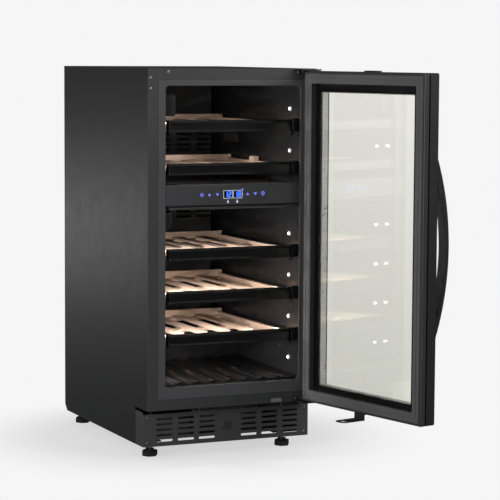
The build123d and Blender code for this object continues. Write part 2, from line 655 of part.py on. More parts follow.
def hinge_bracket(plate, flange, ear, pin, screw_z):
    """A flat arm with a pin, a low flange beside the door and an ear for the two screws."""
    with BuildPart() as bracket:
        block(BRACKET_X, (HINGE_Y - 11, FRONT), plate)
        fillet(bracket.edges().filter_by(Axis.Z).group_by(Axis.Y)[0], 10)
        block(BRACKET_X, (FRONT - FLANGE, FRONT), flange)
        block((BRACKET_X[0], FLANGE_END), (FRONT - FLANGE, FRONT), ear)
        for x in BRACKET_SCREW_X:
            rod((x, FRONT - 3, screw_z), SCREW_SHANK + 0.2, 4, (0, 1, 0), Mode.SUBTRACT)
        rod((HINGE_X, HINGE_Y, pin[0]), PIN_RADIUS, pin[1] - pin[0])
    return bracket.part


upper_ear = (802.3, TOP_PLATE[0])
lower_ear = (LOWER_PLATE[1], 118.4)
upper_pin = (792, TOP_PLATE[1])
lower_pin = (LOWER_PLATE[0], 126)
brackets = [
    hinge_bracket(TOP_PLATE, (TOP_PLATE[0], 811.5), upper_ear, upper_pin, TOP_BRACKET_SCREW_Z),
    hinge_bracket(LOWER_PLATE, LOWER_PLATE, lower_ear, lower_pin, LOWER_BRACKET_SCREW_Z),
]
write(Compound(children=brackets), "hinge_brackets")

SCREW_HEAD = (3.0, 1.4)  # radius and height


def screw(x, z, face, length, inward=1):
    """A pan-head screw in a face at this Y, driven towards +Y, or towards -Y when inward is -1."""
    with BuildPart() as piece:
        rod((x, face, z), SCREW_HEAD[0], SCREW_HEAD[1], (0, -inward, 0))
        fillet(piece.edges().filter_by(GeomType.CIRCLE).sort_by(Axis.Y)[0 if inward > 0 else -1], 0.8)
        rod((x, face, z), SCREW_SHANK, length, (0, inward, 0))
    return piece.part


bracket_screws = [(x, z) for x in BRACKET_SCREW_X for z in (TOP_BRACKET_SCREW_Z, LOWER_BRACKET_SCREW_Z)]
back_screws = [(x, z) for x in (-BACK_SCREW_X, BACK_SCREW_X) for z in BACK_SCREW_HEIGHTS]
all_screws = [screw(x, z, FRONT, 8) for x, z in FRAME_SCREWS]
all_screws += [screw(x, z, FRONT - FLANGE, 10) for x, z in bracket_screws]
all_screws += [screw(x, z, KICK_FACE, 9) for x, z in KICK_SCREWS]
all_screws += [screw(x, z, REAR, 1.5, -1) for x, z in back_screws]
write(Compound(children=all_screws), "cabinet_screws")

with BuildPart() as door_sensor:
    block((89, 113), (FRONT - 0.8, behind(8)), (SILL + 1.6, SILL + 10))
    fillet(door_sensor.edges().filter_by(Axis.Y), 1)
write(door_sensor.part, "door_sensor")

# ---- door, drawn closed -------------------------------------------------------------------------
PACK_HALF = 158.0
PACK_EDGE = PACK_HALF - GLASS_HALF
PACK = (PACK_HALF, GLASS_LOW - PACK_EDGE, GLASS_HIGH + PACK_EDGE)
SIGHT = (GLASS_HALF, GLASS_LOW, GLASS_HIGH)
DOOR_EDGE = (SIDE, DOOR_BOTTOM, DOOR_TOP)
OUTER_PANE = (DOOR_FACE + 2, DOOR_FACE + 2 + PANE)
INNER_PANE = (GROOVE_BACK - 1.5 - PANE, GROOVE_BACK - 1.5)
LUG_X = (-18.0, 20.0)
LUG_RISE = 2.5
BUSH_RADIUS = 6.0
BUSH_LENGTH = 16.0
HANDLE_SCREW_X = -162.0
HANDLE_SHANK = 1.5
HANDLE_HEAD = 2.9
HANDLE_SCREWS = (DOOR_MIDDLE - HANDLE_CHORD / 2 + 22, DOOR_MIDDLE + HANDLE_CHORD / 2 - 22)


def grown(rectangle, margin):
    """A (half width, low z, high z) rectangle, larger by margin on each side."""
    half, low, high = rectangle
    return (half + margin, low - margin, high + margin)


POCKET = grown(PACK, 0.3)
with BuildPart() as door_outer_frame:
    ring(DOOR_EDGE, SIGHT, (DOOR_FACE, OUTER_PANE[0]), (4, 3))
    ring(DOOR_EDGE, POCKET, (OUTER_PANE[0], OUTER_BACK), (4, 1))
    fillet(door_outer_frame.faces().sort_by(Axis.Y)[0].outer_wire().edges(), 1.8)
    block(LUG_X, (OUTER_PANE[0], OUTER_BACK - 6), (DOOR_TOP - 1, DOOR_TOP + LUG_RISE))
    for z in (DOOR_BOTTOM - 1, DOOR_TOP - BUSH_LENGTH):
        rod((HINGE_X, HINGE_Y, z), BUSH_RADIUS, BUSH_LENGTH + 1, mode=Mode.SUBTRACT)
    for z in HANDLE_SCREWS:
        rod((HANDLE_SCREW_X, DOOR_FACE - 1, z), HANDLE_SHANK + 0.3, OUTER_FRAME + 2, (0, 1, 0), Mode.SUBTRACT)
        rod((HANDLE_SCREW_X, OUTER_BACK - 3, z), HANDLE_HEAD + 0.3, 4, (0, 1, 0), Mode.SUBTRACT)
write_on_door(door_outer_frame.part, "door_outer_frame")

GASKET_MARGIN = 5.6
GASKET_WIDTH = 20.0
GASKET_EDGE = grown(DOOR_EDGE, -GASKET_MARGIN)
DART = grown(GASKET_EDGE, -7.5)
DART_WIDTH = 5.0
RECESS = grown(GASKET_EDGE, -GASKET_WIDTH)
with BuildPart() as door_inner_frame:
    ring(DOOR_EDGE, RECESS, (GROOVE_BACK, DOOR_BACK), (4, 3))
    fillet(door_inner_frame.faces().sort_by(Axis.Y)[-1].outer_wire().edges(), 3)
    ring(grown(DOOR_EDGE, -4), POCKET, (OUTER_BACK, GROOVE_BACK), (2, 1))
    ring(grown(PACK, 2), SIGHT, (INNER_PANE[1], GROOVE_BACK), (1, 3))
    ring(
        grown(DART, 0.2),
        grown(DART, -DART_WIDTH - 0.2),
        (DOOR_BACK - 5.2, DOOR_BACK + 1),
        (2, 1),
        Mode.SUBTRACT,
    )
write_on_door(door_inner_frame.part, "door_inner_frame")

with BuildPart() as gasket:
    ring(GASKET_EDGE, RECESS, (DOOR_BACK, DOOR_BACK + 1), (3, 3))
    ring(grown(GASKET_EDGE, -1), grown(GASKET_EDGE, -7), (DOOR_BACK, DOOR_BACK + 2.1), (3, 2))
    ring(grown(GASKET_EDGE, -10), grown(GASKET_EDGE, -18), (DOOR_BACK, DOOR_BACK + 2.1), (3, 2))
    ring(DART, grown(DART, -DART_WIDTH), (DOOR_BACK - 5, DOOR_BACK), (2, 1))
write_on_door(gasket.part, "gasket")

panes = [slab((-PACK_HALF, PACK_HALF), pane, PACK[1:]) for pane in (OUTER_PANE, INNER_PANE)]
write_on_door(Compound(children=panes), "glass_panes")

with BuildPart() as spacer_bar:
    ring(grown(PACK, -2.5), grown(SIGHT, -1.5), (OUTER_PANE[1], INNER_PANE[0]), (0.5, 0.5))
write_on_door(spacer_bar.part, "spacer_bar")

with BuildPart() as hinge_bushes:
    for low, high in ((LOWER_PLATE[1] + 0.3, DOOR_BOTTOM), (DOOR_TOP, TOP_PLATE[0] - 0.3)):
        rod((HINGE_X, HINGE_Y, low), 9, high - low)
    for z in (DOOR_BOTTOM, DOOR_TOP - BUSH_LENGTH):
        rod((HINGE_X, HINGE_Y, z), BUSH_RADIUS, BUSH_LENGTH)
    rod((HINGE_X, HINGE_Y, BASE), PIN_RADIUS + RUNNING, HEIGHT, mode=Mode.SUBTRACT)
write_on_door(hinge_bushes.part, "hinge_bushes")

HANDLE_FOOT = 34.0
HANDLE_TIP = 3.0
with BuildPart() as handle:
    with BuildSketch(Plane.YZ.offset(HANDLE_X - HANDLE_WIDTH / 2)) as bow:
        with BuildLine():
            low, high = DOOR_MIDDLE - HANDLE_CHORD / 2, DOOR_MIDDLE + HANDLE_CHORD / 2
            tip = DOOR_FACE - HANDLE_TIP
            ThreePointArc((tip, low), (DOOR_FACE - HANDLE_BOW, DOOR_MIDDLE), (tip, high))
            Polyline((tip, high), (DOOR_FACE, high), (DOOR_FACE, high - HANDLE_FOOT))
            ThreePointArc(
                (DOOR_FACE, high - HANDLE_FOOT),
                (DOOR_FACE - HANDLE_BOW + HANDLE_BAR, DOOR_MIDDLE),
                (DOOR_FACE, low + HANDLE_FOOT),
            )
            Polyline((DOOR_FACE, low + HANDLE_FOOT), (DOOR_FACE, low), (tip, low))
        make_face()
    extrude(amount=HANDLE_WIDTH)
    fillet(handle.faces().sort_by(Axis.Y)[0].edges().filter_by(GeomType.CIRCLE), 2.5)
    for z in HANDLE_SCREWS:
        rod((HANDLE_SCREW_X, DOOR_FACE - 5, z), HANDLE_SHANK + 0.1, 6, (0, 1, 0), Mode.SUBTRACT)
write_on_door(handle.part, "handle")

with BuildPart() as handle_screws:
    for z in HANDLE_SCREWS:
        rod((HANDLE_SCREW_X, DOOR_FACE - 4.5, z), HANDLE_SHANK, OUTER_FRAME + 1.6, (0, 1, 0))
        rod((HANDLE_SCREW_X, OUTER_BACK - 2.9, z), HANDLE_HEAD, 2.6, (0, 1, 0))
write_on_door(handle_screws.part, "handle_screws")

HASP_Z = (100.0, 101.5)
HASP_HALF = 16.0
HASP_TIP = 50.0
with BuildPart() as lock_hasp:
    hasp_x = (-HASP_HALF, HASP_HALF)
    block(hasp_x, (OUTER_BACK - 12, DOOR_BACK - 1), (DOOR_BOTTOM - 1.5, DOOR_BOTTOM))
    block(hasp_x, (DOOR_BACK - 2.5, DOOR_BACK - 1), (HASP_Z[0], DOOR_BOTTOM))
    block(hasp_x, (DOOR_BACK - 2.5, behind(HASP_TIP)), HASP_Z)
    fillet(lock_hasp.edges().filter_by(Axis.Z).group_by(Axis.Y)[-1], 12)
    cam_slot = (behind(CAM_DEPTH - 2.5), behind(CAM_DEPTH + 4.5))
    block((-10, 10), cam_slot, grow(HASP_Z), Mode.SUBTRACT)
write_on_door(lock_hasp.part, "lock_hasp")

# ---- shelves ------------------------------------------------------------------------------------
RAIL_WIDTH = 10.0
RAIL_RISE = 18.0  # top of the side rails above the bar's underside
SLAT_RISE = 14.6
SLAT_CENTRES = (-79.5, -26.5, 26.5, 79.5)
SLAT_WIDTH = 22.0
SLAT_THICK = 5.0
SLAT_FRONT = 98.0
CRADLES = ((187.0, 213.0), (358.0, 373.0))  # front and back of each cross-board, behind the face
CRADLE_HEIGHT = 6.0
CRADLE_DIP = 2.0
BOARD_THICK = 12.0
BACKSTOP_RISE = 25.5
BACKSTOP_LOW = 4.0
PEG = (14.7, 19.0, 10.0)  # the stop block on the short rack's right rail
PEG_DEPTH = 175.0
BAR_LEFT, BAR_RIGHT = -143.0, 135.0
BAR_FRONT, BAR_BACK = 4.0, 18.0


def cradle(level, span):
    """A flat cross-board under the slats, with a shallow hollow for a bottle in each space between them."""
    inside = RACK_HALF - RAIL_WIDTH
    top = level + SLAT_RISE - SLAT_THICK
    low = top - CRADLE_HEIGHT
    edges = [-inside]
    for middle in SLAT_CENTRES:
        edges += [middle - SLAT_WIDTH / 2, middle + SLAT_WIDTH / 2]
    edges.append(inside)
    spaces = list(zip(edges[::2], edges[1::2]))
    with BuildPart() as board:
        with BuildSketch(facing(behind(span[0]))) as outline:
            with BuildLine():
                Polyline((inside, top), (inside, low), (-inside, low), (-inside, top))
                for index, (left, right) in enumerate(spaces):
                    ThreePointArc((left, top), ((left + right) / 2, top - CRADLE_DIP), (right, top))
                    if index < len(SLAT_CENTRES):
                        Line((right, top), (right + SLAT_WIDTH, top))
            make_face()
        extrude(outline.sketch, amount=span[0] - span[1])
    return board.part


def rack(level, rear, peg):
    """The wooden bottle rack: side rails, cradles, slats and a backstop, each its own board."""
    inside = RACK_HALF - RAIL_WIDTH
    rail_top = level + RAIL_RISE
    backstop = (behind(rear - BOARD_THICK), behind(rear))
    boards = [slab((-inside, inside), backstop, (level + BACKSTOP_LOW, level + BACKSTOP_RISE))]
    for low, high in ((-RACK_HALF, -inside), (inside, RACK_HALF)):
        boards.append(slab((low, high), (behind(BAR_BACK), backstop[1]), (level, rail_top)))
        corner = (backstop[0] + 0.3, backstop[1] - 0.3)
        boards.append(slab((low, high), corner, (rail_top, level + BACKSTOP_RISE)))
    for span in CRADLES:
        if span[1] < rear - BOARD_THICK:
            boards.append(cradle(level, span))
    for middle in SLAT_CENTRES:
        x = (middle - SLAT_WIDTH / 2, middle + SLAT_WIDTH / 2)
        slat_z = (level + SLAT_RISE - SLAT_THICK, level + SLAT_RISE)
        boards.append(slab(x, (behind(SLAT_FRONT), backstop[0]), slat_z))
    if peg:
        peg_y = (behind(PEG_DEPTH), behind(PEG_DEPTH + PEG[1]))
        boards.append(slab((RACK_HALF - PEG[0], RACK_HALF), peg_y, (rail_top, rail_top + PEG[2])))
    return Compound(children=boards)


def front_bar(level):
    """The moulded bar across the front of a shelf, with a lower lip, a bevelled top and cut ends."""
    top = level + BAR_HEIGHT
    with BuildPart() as bar:
        with BuildSketch(Plane.YZ.offset(BAR_LEFT)) as section:
            Polygon(
                (behind(BAR_BACK), level),
                (behind(BAR_FRONT), level),
                (behind(BAR_FRONT), level + 3),
                (behind(BAR_FRONT + 1.6), level + 4.2),
                (behind(BAR_FRONT + 1.6), top - 5.5),
                (behind(BAR_FRONT), top - 4),
                (behind(BAR_FRONT + 3.5), top),
                (behind(BAR_BACK), top),
                align=None,
            )
        extrude(section.sketch, amount=BAR_RIGHT - BAR_LEFT)
        with BuildSketch(Plane.XY.offset(level - 1)) as ends:
            for side, corner in ((-1, BAR_LEFT - 1), (1, BAR_RIGHT + 1)):
                Polygon(
                    (corner, behind(BAR_FRONT - 1)),
                    (corner - side * 6, behind(BAR_FRONT - 1)),
                    (corner, behind(BAR_FRONT + 5)),
                    align=None,
                )
        extrude(ends.sketch, amount=BAR_HEIGHT + 2, mode=Mode.SUBTRACT)
    return bar.part


def runners(level):
    """The two moving slide members. The right one ends in the tall bracket beside the front bar."""
    middle = level + 2 + SLIDE_HEIGHT / 2
    z = (middle - RUNNER_HEIGHT / 2, middle + RUNNER_HEIGHT / 2)
    reach = CAVITY_HALF - 2 - RUNNER_INSET
    back = behind(SLIDE_REAR - 6)
    with BuildPart() as right:
        block((RACK_HALF, reach), (behind(10), back), z)
        block((BAR_RIGHT + 0.4, reach), (behind(3), behind(14)), (level, level + 27))
    return slab((-reach, -RACK_HALF), (behind(SLIDE_FRONT + 2), back), z), right.part


for number, level in enumerate(SHELF_LEVELS, start=1):
    short = number == 2
    rear = SHORT_RACK_REAR if short else RACK_REAR
    write(rack(level, rear, short), f"shelf_{number}_rack")
    carriage = Compound(children=[front_bar(level), *runners(level)])
    write(carriage, f"shelf_{number}_bar_and_runners")
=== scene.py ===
"""Looks of the undercounter wine cooler: materials, fine parts, studio and camera."""

import json
import math

import bmesh
import bpy
from mathutils import Matrix, Vector


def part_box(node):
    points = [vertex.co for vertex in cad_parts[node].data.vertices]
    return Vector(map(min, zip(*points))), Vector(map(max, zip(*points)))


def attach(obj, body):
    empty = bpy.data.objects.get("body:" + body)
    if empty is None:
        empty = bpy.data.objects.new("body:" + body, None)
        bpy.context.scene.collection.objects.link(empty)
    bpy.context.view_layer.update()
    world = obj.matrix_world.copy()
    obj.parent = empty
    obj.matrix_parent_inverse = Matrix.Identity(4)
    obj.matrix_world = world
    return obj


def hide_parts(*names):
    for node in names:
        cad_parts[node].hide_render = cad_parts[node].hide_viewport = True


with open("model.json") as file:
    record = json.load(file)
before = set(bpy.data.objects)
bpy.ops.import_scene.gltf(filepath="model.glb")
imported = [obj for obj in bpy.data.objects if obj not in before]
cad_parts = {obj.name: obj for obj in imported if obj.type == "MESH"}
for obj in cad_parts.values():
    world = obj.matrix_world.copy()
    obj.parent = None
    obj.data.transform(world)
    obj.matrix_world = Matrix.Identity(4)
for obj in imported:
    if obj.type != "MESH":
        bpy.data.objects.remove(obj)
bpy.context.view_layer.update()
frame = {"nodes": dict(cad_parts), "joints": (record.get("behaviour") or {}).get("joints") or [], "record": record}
NODES = frame["nodes"]
RECORD = frame["record"]
MM = 0.001

# ---- places that come from the frame ------------------------------------------------------------
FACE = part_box("front_frame")[0].y  # front of the cabinet
HINGE = next(joint for joint in frame["joints"] if joint["name"] == "door_hinge")
HINGE_POINT = Vector((HINGE["pos_m"][0], HINGE["pos_m"][1], 0))
OPEN = math.radians(-HINGE["range_deg"][0])


def islands(node):
    """The boxes of a node's separate solids, each as (lowest corner, highest corner)."""
    welded = bmesh.new()
    welded.from_mesh(NODES[node].data)
    bmesh.ops.remove_doubles(welded, verts=welded.verts, dist=1e-6)
    seen = set()
    boxes = []
    for start in welded.verts:
        if start in seen:
            continue
        group = [start]
        seen.add(start)
        for vertex in group:
            for edge in vertex.link_edges:
                other = edge.other_vert(vertex)
                if other not in seen:
                    seen.add(other)
                    group.append(other)
        low = Vector(min(vertex.co[axis] for vertex in group) for axis in range(3))
        high = Vector(max(vertex.co[axis] for vertex in group) for axis in range(3))
        boxes.append((low, high))
    welded.free()
    return boxes


# ---- materials ----------------------------------------------------------------------------------
def node(tree, kind, **values):
    """A shader node with some of its inputs or settings filled in."""
    made = tree.nodes.new(kind)
    for name, value in values.items():
        if name in made.inputs:
            made.inputs[name].default_value = value
        else:
            setattr(made, name, value)
    return made


def grey(level, blue=1.0):
    """A near-neutral colour."""
    return (level, level, level * blue, 1.0)


def noise(tree, where, scale, detail=3.0, roughness=0.55):
    made = node(tree, "ShaderNodeTexNoise", Scale=scale, Detail=detail, Roughness=roughness)
    tree.links.new(where, made.inputs["Vector"])
    return made.outputs["Fac"]


def ranged(tree, value, low, high):
    """value, from 0 to 1, as a number from low to high."""
    made = node(tree, "ShaderNodeMapRange")
    made.inputs["From Min"].default_value = 0.25
    made.inputs["From Max"].default_value = 0.75
    made.inputs["To Min"].default_value = low
    made.inputs["To Max"].default_value = high
    tree.links.new(value, made.inputs["Value"])
    return made.outputs["Result"]


def start_material(name):
    """A new material, its node tree, its shader and a position in metres on the object."""
    material = bpy.data.materials.new(name)
    material.use_nodes = True
    tree = material.node_tree
    shader = tree.nodes["Principled BSDF"]
    where = node(tree, "ShaderNodeTexCoord").outputs["Object"]
    return material, tree, shader, where


def surface(
    name,
    colour,
    rough,
    metal=0.0,
    tint=0.12,
    blotch=7.0,
    rough_change=0.06,
    grain=1500.0,
    bump=0.15,
    depth=0.06,
    stretch=(1, 1, 1),
    specular=0.5,
):
    """A moulded, painted or metal surface. grain is in 1/m and depth, the height of its relief, in mm."""
    material, tree, shader, where = start_material(name)
    light = tuple(channel * (1 + tint) for channel in colour[:3]) + (1.0,)
    dark = tuple(channel * (1 - tint) for channel in colour[:3]) + (1.0,)
    blend = node(tree, "ShaderNodeMix", data_type="RGBA")
    blend.inputs[6].default_value = dark
    blend.inputs[7].default_value = light
    cloud = noise(tree, where, blotch, 4.0)
    tree.links.new(ranged(tree, cloud, 0.0, 1.0), blend.inputs[0])
    tree.links.new(blend.outputs[2], shader.inputs["Base Color"])
    smear = noise(tree, where, blotch * 5, 6.0, 0.65)
    low, high = max(0.02, rough - rough_change), min(1.0, rough + rough_change)
    tree.links.new(ranged(tree, smear, low, high), shader.inputs["Roughness"])
    stretched = node(tree, "ShaderNodeMapping")
    stretched.inputs["Scale"].default_value = stretch
    tree.links.new(where, stretched.inputs["Vector"])
    relief = node(tree, "ShaderNodeBump", Strength=bump, Distance=depth * MM)
    tree.links.new(noise(tree, stretched.outputs["Vector"], grain, 2.0), relief.inputs["Height"])
    tree.links.new(relief.outputs["Normal"], shader.inputs["Normal"])
    shader.inputs["Metallic"].default_value = metal
    shader.inputs["Specular IOR Level"].default_value = specular
    return material


def wood(name, along):
    """Beech. along is the axis the grain runs on: 0 for X, 1 for Y."""
    material, tree, shader, where = start_material(name)
    island = node(tree, "ShaderNodeNewGeometry").outputs["Random Per Island"]
    shifted = node(tree, "ShaderNodeVectorMath", operation="MULTIPLY_ADD")
    tree.links.new(island, shifted.inputs[0])
    shifted.inputs[1].default_value = (3.1, 1.7, 2.3)
    tree.links.new(where, shifted.inputs[2])
    scale = [1.0, 1.0, 1.0]
    scale[along] = 0.06
    grain = node(tree, "ShaderNodeMapping")
    grain.inputs["Scale"].default_value = scale
    tree.links.new(shifted.outputs[0], grain.inputs["Vector"])
    rings = node(tree, "ShaderNodeTexWave", Scale=22.0, Distortion=7.0, Detail=3.0)
    rings.inputs["Detail Scale"].default_value = 1.4
    tree.links.new(grain.outputs["Vector"], rings.inputs["Vector"])
    ramp = node(tree, "ShaderNodeValToRGB")
    ramp.color_ramp.elements[0].color = (0.58, 0.42, 0.32, 1)
    ramp.color_ramp.elements[1].color = (0.74, 0.58, 0.47, 1)
    tree.links.new(rings.outputs["Fac"], ramp.inputs["Fac"])
    fleck = noise(tree, grain.outputs["Vector"], 900.0, 2.0, 0.7)
    darker = node(tree, "ShaderNodeMix", data_type="RGBA", blend_type="MULTIPLY")
    tree.links.new(ranged(tree, fleck, 0.0, 0.55), darker.inputs[0])
    tree.links.new(ramp.outputs["Color"], darker.inputs[6])
    darker.inputs[7].default_value = (0.80, 0.70, 0.62, 1)
    board = node(tree, "ShaderNodeHueSaturation", Saturation=1.0)
    tree.links.new(ranged(tree, island, 0.86, 1.12), board.inputs["Value"])
    tree.links.new(darker.outputs[2], board.inputs["Color"])
    tree.links.new(board.outputs["Color"], shader.inputs["Base Color"])
    tree.links.new(ranged(tree, fleck, 0.5, 0.68), shader.inputs["Roughness"])
    relief = node(tree, "ShaderNodeBump", Strength=0.35, Distance=0.15 * MM)
    tree.links.new(fleck, relief.inputs["Height"])
    tree.links.new(relief.outputs["Normal"], shader.inputs["Normal"])
    shader.inputs["Specular IOR Level"].default_value = 0.35
    return material


def glowing(name, colour, strength):
    """A lit lens or sign, a little uneven as light through moulded plastic is."""
    material, tree, shader, where = start_material(name)
    cloud = noise(tree, where, 420.0, 2.0)
    tree.links.new(ranged(tree, cloud, 0.25, 0.4), shader.inputs["Roughness"])
    shader.inputs["Base Color"].default_value = colour
    shader.inputs["Emission Color"].default_value = colour
    shader.inputs["Emission Strength"].default_value = strength
    return material


def lit_lens(name, core, rim):
    """Frosted lenses in the side walls, brightest over the diode in the middle of each."""
    material, tree, shader, where = start_material(name)
    split = node(tree, "ShaderNodeSeparateXYZ")
    tree.links.new(where, split.inputs[0])

    def combined(operation, first, second):
        made = node(tree, "ShaderNodeMath", operation=operation)
        for socket, value in zip(made.inputs, (first, second)):
            if isinstance(value, float):
                socket.default_value = value
            else:
                tree.links.new(value, socket)
        return made.outputs[0]

    boxes = islands("led_lenses")
    away_z = None
    for height in sorted({round((low.z + high.z) / 2, 4) for low, high in boxes}):
        gap = combined("SUBTRACT", split.outputs["Z"], height)
        gap = combined("MULTIPLY", gap, gap)
        away_z = gap if away_z is None else combined("MINIMUM", away_z, gap)
    away_y = combined("SUBTRACT", split.outputs["Y"], (boxes[0][0].y + boxes[0][1].y) / 2)
    squared = combined("ADD", combined("MULTIPLY", away_y, away_y), away_z)
    radius = combined("SQRT", squared, 0.0)
    fade = node(tree, "ShaderNodeMapRange", interpolation_type="SMOOTHERSTEP")
    for socket, value in (("From Min", 1.0 * MM), ("From Max", 3.6 * MM), ("To Min", core), ("To Max", rim)):
        fade.inputs[socket].default_value = value
    tree.links.new(radius, fade.inputs["Value"])
    tree.links.new(fade.outputs["Result"], shader.inputs["Emission Strength"])
    tree.links.new(ranged(tree, noise(tree, where, 420.0, 2.0), 0.2, 0.3), shader.inputs["Roughness"])
    shader.inputs["Base Color"].default_value = (0.3, 0.3, 0.3, 1)
    shader.inputs["Emission Color"].default_value = (1, 1, 1, 1)
    return material


def clear_glass(name, upper, lower):
    """Glass with painted light and shade: its pale tint is painted lighter towards its upper end and darker
    towards its lower end.
    """
    material, tree, shader, where = start_material(name)
    shader.inputs["Roughness"].default_value = 0.0
    split = node(tree, "ShaderNodeSeparateXYZ")
    tree.links.new(where, split.inputs[0])
    # painted light and shade: between these heights the tint runs from the darker lower colour to the lighter
    # upper colour
    height = node(tree, "ShaderNodeMapRange")
    height.inputs["From Min"].default_value = 0.15
    height.inputs["From Max"].default_value = 0.76
    tree.links.new(split.outputs["Z"], height.inputs["Value"])
    blend = node(tree, "ShaderNodeMix", data_type="RGBA")
    tree.links.new(height.outputs["Result"], blend.inputs[0])
    blend.inputs[6].default_value = lower
    blend.inputs[7].default_value = upper
    tree.links.new(blend.outputs[2], shader.inputs["Base Color"])
    shader.inputs["Transmission Weight"].default_value = 1.0
    shader.inputs["IOR"].default_value = 1.5
    return material


def beyond(tree, where, direction, limit):
    """1 where a point is further along direction, in metres, than limit, and 0 elsewhere."""
    along = node(tree, "ShaderNodeVectorMath", operation="DOT_PRODUCT")
    tree.links.new(where, along.inputs[0])
    along.inputs[1].default_value = direction
    test = node(tree, "ShaderNodeMath", operation="GREATER_THAN")
    tree.links.new(along.outputs["Value"], test.inputs[0])
    test.inputs[1].default_value = limit
    return test.outputs[0]


def repaint(material, direction, limit, colour, rough=None, metal=None):
    """Another colour on the part of a piece that lies further along direction than limit, with its own roughness
    and metal when given. It is a real second finish on the feet's studs and painted light on the liner's flange.
    """
    tree = material.node_tree
    shader = tree.nodes["Principled BSDF"]
    where = node(tree, "ShaderNodeTexCoord").outputs["Object"]
    mask = beyond(tree, where, direction, limit)
    before = shader.inputs["Base Color"].links[0].from_socket
    blend = node(tree, "ShaderNodeMix", data_type="RGBA")
    tree.links.new(mask, blend.inputs[0])
    tree.links.new(before, blend.inputs[6])
    blend.inputs[7].default_value = colour
    tree.links.new(blend.outputs[2], shader.inputs["Base Color"])
    if rough is not None:
        before = shader.inputs["Roughness"].links[0].from_socket
        change = node(tree, "ShaderNodeMix", data_type="FLOAT")
        tree.links.new(mask, change.inputs[0])
        tree.links.new(before, change.inputs[2])
        change.inputs[3].default_value = rough
        tree.links.new(change.outputs[0], shader.inputs["Roughness"])
    if metal is not None:
        share = node(tree, "ShaderNodeMath", operation="MULTIPLY")
        tree.links.new(mask, share.inputs[0])
        share.inputs[1].default_value = metal
        tree.links.new(share.outputs[0], shader.inputs["Metallic"])
    return material


def perforated(material, pitch, colour):
    """Rows of fine holes across a strip, as darker bands at this pitch along Z."""
    tree = material.node_tree
    shader = tree.nodes["Principled BSDF"]
    where = node(tree, "ShaderNodeTexCoord").outputs["Object"]
    bands = node(tree, "ShaderNodeTexWave", Scale=math.pi / (10 * pitch), bands_direction="Z")
    tree.links.new(where, bands.inputs["Vector"])
    before = shader.inputs["Base Color"].links[0].from_socket
    blend = node(tree, "ShaderNodeMix", data_type="RGBA")
    tree.links.new(ranged(tree, bands.outputs["Fac"], 0.0, 0.7), blend.inputs[0])
    tree.links.new(before, blend.inputs[6])
    blend.inputs[7].default_value = colour
    tree.links.new(blend.outputs[2], shader.inputs["Base Color"])
    return material


